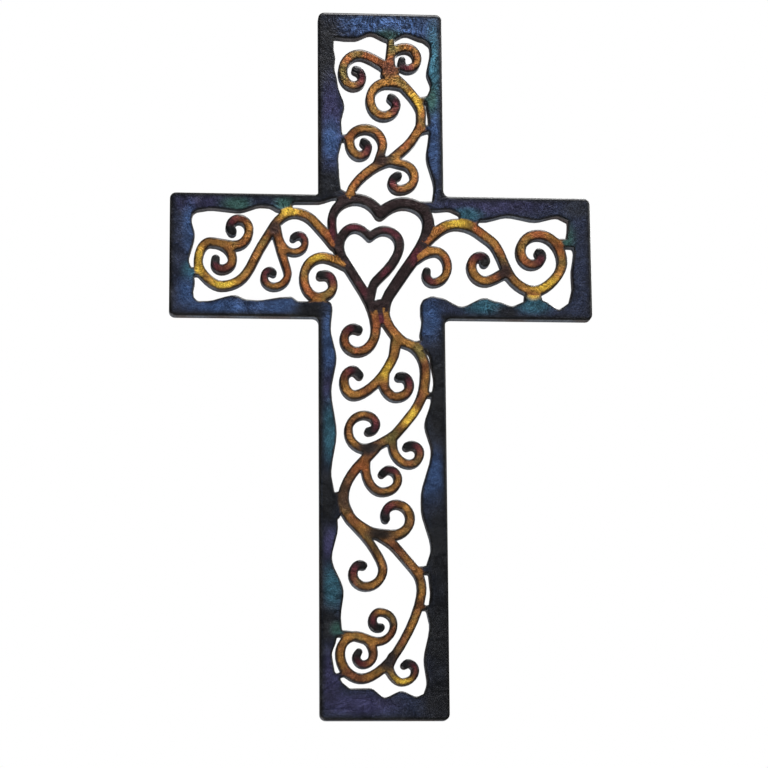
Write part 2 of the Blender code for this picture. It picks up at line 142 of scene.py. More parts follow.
ROUTES: tuple[Route, ...] = (
    Route("crown, post", Zone.SCROLL, ((5.5, -27, N), (6.1, -17.5, 88)), False),
    Route("crown, coil", Zone.SCROLL, (
        (6.5, -35, 100), (5.4, -25, 88), (13.8, -18.7, E), (20.2, -25.2, S), (14.7, -30.7, W),
        (11.5, -27.8, N), (11.8, -26, N))),
    Route("crown, west", Zone.SCROLL, (
        (8, -32.2, 160), (-2, -26.5, 150), (-11, -23, W), (-20.3, -33, S), (-14.4, -40.9, E),
        (-9.7, -36.4, N), (-13.5, -31.8, W))),
    Route("crown, inner", Zone.SCROLL, (
        (11, -39.5, 165), (4, -38.7, W), (-5.5, -48.3, S), (1.6, -57.4, E), (8.6, -51, N),
        (5.8, -47.2, 150))),
    Route("crown, stem", Zone.SCROLL, (
        (3, -33.5, -20), (13.6, -41.3, -47), (22.05, -55, -88), (21.8, -61, -97), (16.5, -71.3, -126),
        (6.3, -81.3, -135)), False),
    Route("crown, left", Zone.SCROLL, (
        (-2, -84.5, 70), (1.2, -74, N), (-8, -64.6, W), (-16.7, -71.8, S), (-11.3, -79.8, E),
        (-6.9, -75.2, N), (-9.1, -72.2, 150))),
    Route("crown, right", Zone.SCROLL, (
        (1, -81.9, 2), (11.5, -84, -5), (18.1, -91.5, S), (9.8, -98.3, W), (5.9, -94.3, N),
        (9.2, -90.6, 20))),
    Route("crown, tail", Zone.SCROLL, (
        (8, -82, W), (-2.3, -85.3, 210), (-9.3, -90.6, 222), (-15.2, -97.7, 238), (-16.8, -104, 255)), False),
    Route("hearts, right lobe", Zone.HEART, (
        (-0.6, -112, 46), (12, -105.7, E), (25.4, -117, S), (15.3, -139.1, 234), (4.8, -154.7, 236),
        (1.3, -166, 268))),
    Route("hearts, left lobe", Zone.HEART, (
        (-0.8, -111.8, 118), (-13.2, -103.8, W), (-26.3, -116, S), (-22.1, -134, 300),
        (-12.5, -149.7, 302), (-4.7, -166, 282))),
    Route("hearts, root", Zone.HEART, ((-1.6, -162, 275), (0, -170, 275))),
    Route("hearts, inner right lobe", Zone.HEART, (
        (-6.2, -124.8, 46), (1.2, -120.8, E), (9.8, -128.8, S), (3.3, -142.2, 230), (-4, -150, 234),
        (-5.9, -158, 262))),
    Route("hearts, inner left lobe", Zone.HEART, (
        (-6.2, -124.8, 126), (-14.2, -119.6, W), (-22.3, -130.5, S), (-19.9, -138, 300))),
    Route("left arm, vine", Zone.SCROLL, (
        (-25.4, -129, 125), (-35.8, -116.7, 133), (-46, -111.8, W), (-57.2, -119.2, 238),
        (-64.4, -131.3, 240), (-72.2, -146, 234), (-85, -152.4, W), (-93, -148.1, 135), (-97.3, -139.5, N),
        (-91, -128.6, E), (-79.1, -138, S), (-84.9, -143.5, W), (-88.4, -140.3, N), (-88.1, -138, 70))),
    Route("left arm, upper hook", Zone.SCROLL, (
        (-90, -128.8, E), (-78, -130.4, E), (-70.4, -121.5, N), (-76, -115.8, W), (-80.6, -120.6, S),
        (-79.4, -122.8, -55))),
    Route("left arm, inner hook", Zone.SCROLL, (
        (-55.8, -120, 285), (-53.5, -128.5, 296), (-46.5, -133.6, E), (-40.6, -128.3, N),
        (-43.8, -124.1, W), (-47.1, -125.8, 235))),
    Route("left arm, drop", Zone.SCROLL, (
        (-56.2, -120, 280), (-53.1, -134, 288), (-49.8, -145, S), (-57.3, -152.6, W), (-62.5, -147.6, N),
        (-59.3, -143.8, E), (-57.6, -145.1, -55))),
    Route("left arm, coil", Zone.SCROLL, (
        (-20, -140, 152), (-31, -136, W), (-41.4, -147.3, S), (-33.8, -158, E), (-25.8, -151.5, N),
        (-30, -145.7, W), (-32.6, -146.1, 190))),
    Route("right arm, vine", Zone.SCROLL, (
        (23, -127.6, 45), (31.5, -120, 35), (40, -116.9, E), (51.3, -120.4, -35), (60.1, -127.2, -48),
        (65.5, -137.8, -70), (70.5, -147.3, -48), (81.5, -153, E), (91.5, -147.8, 45), (97.1, -137, N),
        (84.2, -122.1, W), (74.7, -131.5, S), (80.6, -138.6, E), (86, -134, N), (84.6, -132.2, W))),
    Route("right arm, coil", Zone.SCROLL, (
        (67, -142.5, 215), (55.5, -148.1, W), (48.1, -140, N), (53, -134.5, E), (55.8, -137.3, S),
        (55.2, -138, 240))),
    Route("right arm, hook", Zone.SCROLL, (
        (19, -135, 38), (28.4, -131.9, E), (35.4, -140.5, S), (27.5, -149.2, W), (23.8, -145, N),
        (24.1, -143.2, 80))),
    Route("shaft, first hook", Zone.SCROLL, (
        (-4.4, -166, 282), (-3.2, -174.4, S), (-13.2, -187.3, W), (-20.1, -180.3, N), (-14.9, -174.5, E),
        (-12.5, -175.4, -20))),
    Route("shaft, stem", Zone.SCROLL, (
        (1.3, -164, 268), (5.5, -175.8, -52), (12.7, -182.3, -15), (22.9, -197.5, S), (21.1, -210.3, 252),
        (14.8, -221.7, 231), (6.8, -231.3, 225), (-1.8, -236.7, 208), (-9.5, -239.1, W),
        (-18.1, -229.6, N), (-9.6, -221.1, E), (-3.4, -226.4, S), (-7.6, -230, W))),
    Route("shaft, branch", Zone.SCROLL, (
        (7.6, -180.5, 262), (6.3, -189, 248), (1.4, -198, 236), (-5.8, -206.2, 220), (-15, -210.7, W),
        (-20.3, -203, N), (-15.3, -197.2, E), (-12.1, -200, -55))),
    Route("shaft, upper right hook", Zone.SCROLL, (
        (1.2, -199, 265), (1.2, -206.5, 293), (7.2, -211.5, E), (14.4, -205.4, N), (10.4, -200.3, W),
        (8.8, -200.6, 190))),
    Route("shaft, lower right hook", Zone.SCROLL, (
        (5.4, -232, 265), (5.6, -240.2, 288), (14, -247.3, E), (19.5, -241.2, N), (14.9, -237.1, W),
        (12.6, -238, 205))),
    Route("shaft, second stem", Zone.SCROLL, (
        (-3.5, -238.6, 230), (-12.5, -247.9, 227), (-19, -257.4, 245), (-20.9, -266, S),
        (-17.6, -275.6, 300), (-9, -282.4, -30), (5, -284.8, E), (14.1, -276, N), (6.7, -268.5, W),
        (0.8, -274.5, S), (1.2, -276.4, S))),
    Route("shaft, curl", Zone.SCROLL, (
        (-8.7, -243, 262), (-8.9, -252, 278), (-0.4, -262.1, E), (7.9, -255.5, N), (2.8, -250.2, W),
        (-0.6, -252.6, 228))),
    Route("shaft, left hook", Zone.SCROLL, (
        (-16, -278, -52), (-7.5, -288.3, -55), (-0.3, -302.5, S), (-9.2, -311.8, W), (-16.1, -305.3, N),
        (-12.2, -300.3, E), (-10.8, -300.9, -15))),
    Route("foot, stem", Zone.SCROLL, (
        (-3, -284.5, -30), (5.2, -290.1, -43), (12.4, -298.3, -50), (18.3, -306, -66), (19.8, -313, S),
        (15.7, -328.7, 248), (9.9, -340.3, 240), (2.9, -350.4, 228), (-11.7, -359.5, W),
        (-22.9, -346.7, N), (-14.5, -337.4, E), (-5.6, -346.8, S), (-10.9, -352.3, W), (-14.6, -348.3, N),
        (-13.3, -345.8, 62))),
    Route("foot, upper curl", Zone.SCROLL, (
        (-13, -338, -10), (-3.5, -340.3, E), (5.1, -331.5, N), (-2.1, -324.9, W), (-6.1, -329.8, S),
        (-3.5, -333.3, E), (-1.9, -333.1, 20))),
    Route("foot, right hook", Zone.SCROLL, (
        (4.3, -348, 262), (2.6, -355, 290), (9.2, -361.3, E), (16, -355.4, N), (12, -351.4, W),
        (10.4, -352.6, 215))),
)

FRAME_SPRAYS: tuple[Spray, ...] = (
    Spray(-24, -8, 14, 10, Dye.NAVY, 0.25),
    Spray(-6, -6, 17, 8, Dye.COBALT, 0.9),
    Spray(16, -7, 12, 7, Dye.COBALT, 0.8),
    Spray(4, -13, 8, 4, Dye.SEA, 0.4),
    Spray(29, -32, 5, 26, Dye.TEAL, 1.0),
    Spray(29, -72, 5, 22, Dye.COBALT, 0.8),
    Spray(27, -48, 4, 8, Dye.SEA, 0.6),
    Spray(-29, -22, 8, 24, Dye.INK, 0.15),
    Spray(-27, -62, 7, 24, Dye.VIOLET, 0.9),
    Spray(-27, -72, 6, 12, Dye.COBALT, 0.9),
    Spray(-27, -97, 8, 9, Dye.INK, 0.2),
    Spray(28, -98, 7, 8, Dye.NAVY, 0.6),
    Spray(-95, -107, 18, 6, Dye.VIOLET, 0.5),
    Spray(-77, -108, 9, 5, Dye.SEA, 0.9),
    Spray(-50, -107, 8, 5, Dye.SEA, 0.9),
    Spray(-64, -107, 6, 4, Dye.NAVY, 0.4),
    Spray(-40, -105, 8, 3, Dye.INK, 0.3),
    Spray(-102, -122, 4, 14, Dye.COBALT, 0.8),
    Spray(-101, -145, 5, 6, Dye.TEAL, 0.9),
    Spray(-103, -156, 5, 9, Dye.COBALT, 0.8),
    Spray(-84, -164, 17, 5, Dye.COBALT, 1.0),
    Spray(-55, -163, 13, 6, Dye.COBALT, 0.9),
    Spray(-38, -165, 9, 6, Dye.INK, 0.2),
    Spray(62, -106, 30, 6, Dye.VIOLET, 0.5),
    Spray(46, -112, 8, 4, Dye.TEAL, 0.9),
    Spray(105, -108, 8, 6, Dye.INK, 1.0),
    Spray(98, -124, 6, 9, Dye.SEA, 0.9),
    Spray(103, -146, 5, 12, Dye.NAVY, 0.6),
    Spray(54, -161, 11, 6, Dye.TEAL, 1.0),
    Spray(81, -160, 11, 6, Dye.TEAL, 1.0),
    Spray(81, -155, 4, 3, Dye.YELLOW, 1.0),
    Spray(100, -164, 10, 5, Dye.NAVY, 0.5),
    Spray(67, -165, 6, 4, Dye.INK, 0.4),
    Spray(25, -170, 7, 12, Dye.COBALT, 0.9),
    Spray(29, -212, 8, 30, Dye.CHARCOAL, 0.2),
    Spray(26, -254, 7, 14, Dye.COBALT, 0.8),
    Spray(29, -292, 8, 26, Dye.CHARCOAL, 0.2),
    Spray(28, -336, 8, 24, Dye.CHARCOAL, 0.2),
    Spray(28, -370, 9, 14, Dye.INK, 0.15),
    Spray(-28, -182, 6, 18, Dye.COBALT, 0.9),
    Spray(-28, -210, 5, 10, Dye.VIOLET, 0.8),
    Spray(-27, -231, 6, 18, Dye.TEAL, 0.9),
    Spray(-29, -266, 7, 16, Dye.CHARCOAL, 0.2),
    Spray(-29, -290, 5, 9, Dye.VIOLET, 0.8),
    Spray(-27, -312, 6, 12, Dye.TEAL, 0.8),
    Spray(-29, -332, 6, 10, Dye.CHARCOAL, 0.3),
    Spray(-24, -334, 4, 4, Dye.SEA, 0.9),
    Spray(-28, -360, 7, 16, Dye.VIOLET, 0.6),
    Spray(-12, -373, 20, 6, Dye.VIOLET, 0.8),
)

SCROLL_SPRAYS: tuple[Spray, ...] = (
    Spray(5, -31, 6, 5, Dye.RUST, 0.5),
    Spray(0, -82, 6, 5, Dye.MAROON, 0.4),
    Spray(-57, -121, 4, 5, Dye.MAROON, 0.4),
    Spray(66, -143, 5, 6, Dye.MAROON, 0.4),
    Spray(-8, -239, 6, 4, Dye.SOOT, 0.2),
    Spray(-2, -284, 8, 4, Dye.SOOT, 0.3),
    Spray(2, -350, 5, 5, Dye.SOOT, 0.3),
    Spray(20, -187, 5, 6, Dye.OLIVE, 0.6),
    Spray(-50, -111, 7, 4, Dye.YELLOW, 0.9),
    Spray(40, -116, 8, 4, Dye.YELLOW, 0.9),
    Spray(14, -222, 6, 6, Dye.YELLOW, 1.0),
    Spray(4, -232, 5, 5, Dye.OLIVE, 0.6),
    Spray(2, -197, 5, 6, Dye.YELLOW, 0.9),
    Spray(9, -361, 7, 3, Dye.YELLOW, 0.9),
    Spray(88, -150, 9, 5, Dye.YELLOW, 1.0),
    Spray(-84, -151, 8, 4, Dye.YELLOW, 0.9),
    Spray(-97, -140, 4, 8, Dye.YELLOW, 0.8),
    Spray(-20, -34, 4, 6, Dye.OLIVE, 0.6),
    Spray(18, -50, 5, 6, Dye.YELLOW, 0.8),
    Spray(-12, -250, 6, 6, Dye.AMBER, 0.9),
    Spray(-21, -264, 4, 9, Dye.UMBER, 0.5),
    Spray(6, -18, 4, 4, Dye.OLIVE, 0.5),
    Spray(-36, -137, 8, 3, Dye.YELLOW, 0.9),
    Spray(29, -131, 6, 4, Dye.GOLD, 0.8),
)

HEART_SPRAYS: tuple[Spray, ...] = (
    Spray(-14, -119, 7, 3, Dye.CRIMSON, 0.6),
    Spray(6, -122, 6, 4, Dye.CRIMSON, 0.6),
    Spray(2, -145, 4, 5, Dye.CRIMSON, 0.5),
    Spray(-12, -155, 4, 5, Dye.CRIMSON, 0.5),
    Spray(-27, -122, 3, 7, Dye.CRIMSON, 0.5),
    Spray(18, -135, 4, 6, Dye.CRIMSON, 0.6),
    Spray(-2, -171, 5, 4, Dye.CRIMSON, 0.9),
)


def smoothstep(low: float, high: float, value: float) -> float:
    """Share from 0 to 1 that rises smoothly between two values.

    Args:
        low: Value at which it is 0.
        high: Value at which it is 1.
        value: The value asked for.

    Returns:
        The share.
    """
    t = min(max((value - low) / (high - low), 0.0), 1.0)
    return t * t * (3 - 2 * t)


def blend(a: Vector, b: Vector, share: float) -> Vector:
    """Mix of two colours.

    Args:
        a: Colour at share 0.
        b: Colour at share 1.
        share: How much of the second one.

    Returns:
        The mix.
    """
    return a.lerp(b, share)


@dataclass
class Patina:
    """The dye on the front, worked out for any place from the routes and the sprays."""

    frame_start: float = 2.3
    frame_full: float = 3.4
    heart_start: float = 2.9
    heart_full: float = 4.0
    tip_soot: float = 4.0
    tip_red: float = 9.0
    tip_fade: float = 15.0
    low_start: float = 150.0
    low_full: float = 250.0

    def __post_init__(self) -> None:
        """Put every place of every route into one search tree."""
        self.marks: list[tuple[Zone, float]] = []
        places: list[tuple[float, float]] = []
        for route in ROUTES:
            points = route.points()
            left = 0.0 if route.tipped else self.tip_fade * 2
            for i in range(len(points) - 1, -1, -1):
                if i < len(points) - 1:
                    left += math.dist(points[i], points[i + 1])
                self.marks.append((route.zone, left))
                places.append(points[i])
        self.tree = KDTree(len(places))
        for i, (x, z) in enumerate(places):
            self.tree.insert((x, 0.0, z), i)
        self.tree.balance()

    @staticmethod
    def sprayed(x: float, z: float, colour: Vector, ground: float,
                sprays: tuple[Spray, ...]) -> tuple[Vector, float]:
        """Lay sprays over a colour.

        Args:
            x: Place across, in millimetres.
            z: Place up, in millimetres.
            colour: Colour below.
            ground: How bright the place is ground below.
            sprays: The sprays, first ones at the bottom.

        Returns:
            The colour and how bright the place is ground.
        """
        for spray in sprays:
            far = math.hypot((x - spray.x) / spray.wide, (z - spray.z) / spray.tall)
            if far < 1.5:
                share = 0.9 * (1 - smoothstep(0.35, 1.5, far))
                colour = blend(colour, Vector(spray.dye.value), share)
                ground += (spray.ground - ground) * share
        return colour, ground

    def on_frame(self, x: float, z: float, edge: float) -> tuple[Vector, float]:
        """Dye of the frame: navy, darker along the outer edge, under its sprays.

        Args:
            x: Place across, in millimetres.
            z: Place up, in millimetres.
            edge: Distance to the nearest outer edge, in millimetres.

        Returns:
            The colour and how bright the place is ground.
        """
        colour, ground = self.sprayed(x, z, Vector(Dye.NAVY.value), 0.5, FRAME_SPRAYS)
        worn = smoothstep(0.0, 4.0, edge)
        return blend(Vector(Dye.INK.value), colour, 0.25 + 0.75 * worn), ground * (0.2 + 0.8 * worn)

    def on_scroll(self, x: float, z: float, left: float) -> tuple[Vector, float]:
        """Dye of a scroll: gold, then red and soot towards its tip.

        Args:
            x: Place across, in millimetres.
            z: Place up, in millimetres.
            left: Way left to the tip, in millimetres.

        Returns:
            The colour and how bright the place is ground.
        """
        warm = 0.5 + 0.5 * noise.noise(Vector((x, 0.0, z)) * 0.09)
        colour = blend(Vector(Dye.AMBER.value), Vector(Dye.GOLD.value), smoothstep(0.25, 0.65, warm))
        moss = noise.noise(Vector((x, 9.0, z)) * 0.12)
        colour = blend(colour, Vector(Dye.OLIVE.value), 0.6 * smoothstep(0.1, 0.5, moss))
        low = smoothstep(self.low_start, self.low_full, -z)
        colour = blend(colour, Vector(Dye.UMBER.value), 0.45 * low * smoothstep(0.7, 0.3, warm))
        colour, ground = self.sprayed(x, z, colour, 0.8, SCROLL_SPRAYS)
        left += 2.5 * noise.noise(Vector((x, 5.0, z)) * 0.15)
        colour = blend(Vector(Dye.RUST.value), colour, smoothstep(self.tip_red, self.tip_fade, left))
        colour = blend(Vector(Dye.CRIMSON.value), colour, smoothstep(self.tip_soot, self.tip_red + 2, left))
        colour = blend(Vector(Dye.SOOT.value), colour, smoothstep(1.0, self.tip_soot + 2, left))
        return colour, ground * (0.25 + 0.75 * smoothstep(1.0, self.tip_red, left))

    def at(self, x: float, z: float, edge: float) -> tuple[Vector, float]:
        """Dye at a place on the front.

        Args:
            x: Place across, in millimetres.
            z: Place up, in millimetres.
            edge: Distance to the nearest outer edge, in millimetres.

        Returns:
            The colour and how bright the place is ground.
        """
        _, i, far = self.tree.find((x, 0.0, z))
        zone, left = self.marks[i]
        colour, ground = self.on_frame(x, z, edge)
        if zone is Zone.HEART:
            red, bright = self.sprayed(x, z, Vector(Dye.MAROON.value), 0.35, HEART_SPRAYS)
            share = 1 - smoothstep(self.heart_start, self.heart_full, far)
        else:
            red, bright = self.on_scroll(x, z, left)
            share = 1 - smoothstep(self.frame_start, self.frame_full, far)
        return blend(colour, red, share), ground + (bright - ground) * share


class Sock:
    """A shader value, on which sums add their Math nodes."""

    def __init__(self, kit: "Kit", socket: bpy.types.NodeSocket) -> None:
        """Wrap one output socket."""
        self.kit = kit
        self.socket = socket

    def _math(self, operation: str, *values: Value) -> "Sock":
        """Add one Math node over the values."""
        node = self.kit.add("ShaderNodeMath", {"operation": operation}, dict(enumerate(values)))
        return Sock(self.kit, node.outputs[0])

    def __add__(self, other: Value) -> "Sock":
        """Sum."""
        return self._math("ADD", self, other)

    __radd__ = __add__

    def __mul__(self, other: Value) -> "Sock":
        """Product."""
        return self._math("MULTIPLY", self, other)

    __rmul__ = __mul__

    def __sub__(self, other: Value) -> "Sock":
        """Difference."""
        return self._math("SUBTRACT", self, other)

    def __rsub__(self, other: Value) -> "Sock":
        """Difference from a plain number."""
        return self._math("SUBTRACT", other, self)

    def step(self, low: float, high: float) -> "Sock":
        """Smooth share from 0 at the low value to 1 at the high one."""
        node = self.kit.add("ShaderNodeMapRange", {"interpolation_type": "SMOOTHSTEP"},
                            {"Value": self, "From Min": low, "From Max": high})
        return Sock(self.kit, node.outputs[0])


class Kit:
    """Builds the nodes of one material or world."""

    def __init__(self, tree: bpy.types.NodeTree) -> None:
        """Start on a node tree."""
        self.tree = tree

    def add(self, kind: str, settings: dict[str, Any], inputs: dict[Any, Any]) -> bpy.types.Node:
        """Add a node.

        Args:
            kind: The node's type.
            settings: Its own settings, set first.
            inputs: Values or links by socket name or number.

        Returns:
            The node.
        """
        node = self.tree.nodes.new(kind)
        for name, value in settings.items():
            setattr(node, name, value)
        for name, value in inputs.items():
            if isinstance(value, Sock):
                self.tree.links.new(value.socket, node.inputs[name])
            else:
                node.inputs[name].default_value = value
        return node

    def out(self, node: bpy.types.Node, name: Any = 0) -> Sock:
        """Output of a node, wrapped."""
        return Sock(self, node.outputs[name])

    def place(self) -> Sock:
        """Object coordinates in millimetres."""
        metres = self.out(self.add("ShaderNodeTexCoord", {}, {}), "Object")
        return self.out(self.add("ShaderNodeVectorMath", {"operation": "SCALE"},
                                 {0: metres, "Scale": 1 / MM}))

    def attribute(self, name: str, output: str) -> Sock:
        """One of the mesh's own attributes."""
        return self.out(self.add("ShaderNodeAttribute", {"attribute_name": name}, {}), output)

    def grain(self, place: Sock, scale: float, detail: float = 2.0, twist: float = 0.0) -> Sock:
        """Noise of a given fineness."""
        return self.out(self.add("ShaderNodeTexNoise", {},
                                 {"Vector": place, "Scale": scale, "Detail": detail,
                                  "Distortion": twist}), "Fac")

    def stretched(self, place: Sock, scale: tuple[float, float, float], turn: float = 0.0) -> Sock:
        """Coordinates turned in the plane of the plate and stretched."""
        turned = self.out(self.add("ShaderNodeVectorRotate", {"rotation_type": "Y_AXIS"},
                                   {"Vector": place, "Angle": turn}))
        return self.out(self.add("ShaderNodeVectorMath", {"operation": "MULTIPLY"},
                                 {0: turned, 1: scale}))

    def tint(self, factor: Value, a: Any, b: Any, mode: str = "MIX") -> Sock:
        """Mix of two colours."""
        node = self.add("ShaderNodeMix", {"data_type": "RGBA", "blend_type": mode},
                        {0: factor, 6: a, 7: b})
        return self.out(node, 2)

    def bump(self, height: Sock, strength: float, distance: float) -> Sock:
        """Normal of a fine relief."""
        return self.out(self.add("ShaderNodeBump", {}, {"Height": height, "Strength": strength,
                                                        "Distance": distance}))


@dataclass(frozen=True)
class DyedSteel:
    """Ground steel under dye and clear coat: fine bright strokes on a dark ground, with painted shade that
    darkens the colour along every edge of the front.
    """

    metallic: float = 0.6
    coat: float = 0.6
    coat_roughness: float = 0.14
    shade: float = 0.13
    shine: float = 3.3
    # Painted shade: share of the colour kept along the edges of the front
    rim_painted_shade: float = 0.10
    glint: tuple[float, float, float, float] = (0.55, 0.66, 0.72, 1.0)

    def build(self) -> bpy.types.Material:
        """Make the material of the front.

        Returns:
            The material.
        """
        material = bpy.data.materials.new("dyed_steel")
        material.use_nodes = True
        kit = Kit(material.node_tree)
        shader = material.node_tree.nodes["Principled BSDF"]
        place = kit.place()
        dye = kit.attribute("dye", "Color")
        ground = kit.attribute("ground", "Fac")
        rim = kit.attribute("rim", "Fac")
        sweep = kit.grain(place, 0.035, 1.0) * 9.0
        one = kit.grain(kit.stretched(place, (0.28, 0.2, 1.15), sweep), 1.0, 3.0, 0.5)
        two = kit.grain(kit.stretched(place, (1.25, 0.2, 0.32), sweep), 1.0, 3.0, 0.5)
        specks = kit.grain(place, 1.05, 1.0)
        strokes = one.step(0.48, 0.60) + two.step(0.51, 0.62) * 0.8 + specks.step(0.54, 0.66) * 0.5
        strokes = strokes.step(0.0, 1.3)
        patches = kit.grain(place, 0.16, 3.0).step(0.32, 0.64)
        bright = strokes * (patches * 0.7 + 0.3) * ground
        # Painted shade: within one to two millimetres of every edge, with a noisy border, the colour is
        # darkened to a tenth, standing in for the shade on the rounded rim
        inner = (rim + kit.grain(place, 0.7, 1.0) * 1.2).step(1.0, 2.3)
        dark = kit.tint(1.0, dye, (self.shade, self.shade, self.shade, 1.0), "MULTIPLY")
        light = kit.tint(1.0, dye, (self.shine, self.shine, self.shine, 1.0), "MULTIPLY")
        light = kit.tint(strokes * 0.09, light, self.glint)
        colour = kit.tint(bright * 0.85 + ground * 0.12, dark, light)
        low = (self.rim_painted_shade, self.rim_painted_shade, self.rim_painted_shade, 1.0)
        rim_shaded_colour = kit.tint(1.0, colour, low, "MULTIPLY")
        tree = material.node_tree
        tree.links.new(kit.tint(inner, rim_shaded_colour, colour).socket, shader.inputs["Base Color"])
        tree.links.new((0.36 + bright * 0.16).socket, shader.inputs["Roughness"])
        relief = one + two + specks + kit.grain(place, 0.35, 2.0) * 3.0
        tree.links.new(kit.bump(relief, 0.7, 0.0002).socket, shader.inputs["Normal"])
        shader.inputs["Metallic"].default_value = self.metallic
        shader.inputs["Coat Weight"].default_value = self.coat
        shader.inputs["Coat Roughness"].default_value = self.coat_roughness
        return material


@dataclass(frozen=True)
class CutEdge:
    """Torch-cut wall: slate grey with faint lines from front to back."""

    slate: tuple[float, float, float, float] = (0.210, 0.232, 0.275, 1.0)
    brown: tuple[float, float, float, float] = (0.165, 0.135, 0.130, 1.0)

    def build(self) -> bpy.types.Material:
        """Make the material of the cut walls.

        Returns:
            The material.
        """
        material = bpy.data.materials.new("cut_edge")
        material.use_nodes = True
        kit = Kit(material.node_tree)
        shader = material.node_tree.nodes["Principled BSDF"]
        place = kit.place()
        lines = kit.grain(kit.stretched(place, (1.0, 0.08, 1.0)), 1.6, 2.0)
        stain = kit.grain(place, 0.05, 2.0).step(0.42, 0.62)
        colour = kit.tint(stain, self.slate, self.brown)
        shaded = kit.tint(1.0, colour, (0.6, 0.6, 0.62, 1.0), "MULTIPLY")
        tree = material.node_tree
        tree.links.new(kit.tint(lines.step(0.35, 0.65), shaded, colour).socket, shader.inputs["Base Color"])
        tree.links.new((0.42 + lines * 0.2).socket, shader.inputs["Roughness"])
        tree.links.new(kit.bump(lines, 0.5, 0.00015).socket, shader.inputs["Normal"])
        shader.inputs["Metallic"].default_value = 0.25
        return material


@dataclass(frozen=True)
class MillBack:
    """Bare rolled back under clear coat: dark scale with lighter rubbed patches."""

    scale: tuple[float, float, float, float] = (0.030, 0.032, 0.038, 1.0)
    rubbed: tuple[float, float, float, float] = (0.095, 0.095, 0.100, 1.0)

    def build(self) -> bpy.types.Material:
        """Make the material of the back.

        Returns:
            The material.
        """
        material = bpy.data.materials.new("mill_back")
        material.use_nodes = True
        kit = Kit(material.node_tree)
        shader = material.node_tree.nodes["Principled BSDF"]
        place = kit.place()
        patches = kit.grain(place, 0.06, 5.0).step(0.45, 0.70)
        rolled = kit.grain(kit.stretched(place, (1.2, 1.0, 0.08)), 1.0, 2.0)
        tree = material.node_tree
        colour = kit.tint(patches * (0.5 + rolled * 0.5), self.scale, self.rubbed)
        tree.links.new(colour.socket, shader.inputs["Base Color"])
        tree.links.new((0.5 - patches * 0.12).socket, shader.inputs["Roughness"])
        tree.links.new(kit.bump(rolled + patches, 0.25, 0.0001).socket, shader.inputs["Normal"])
        shader.inputs["Metallic"].default_value = 0.5
        return material


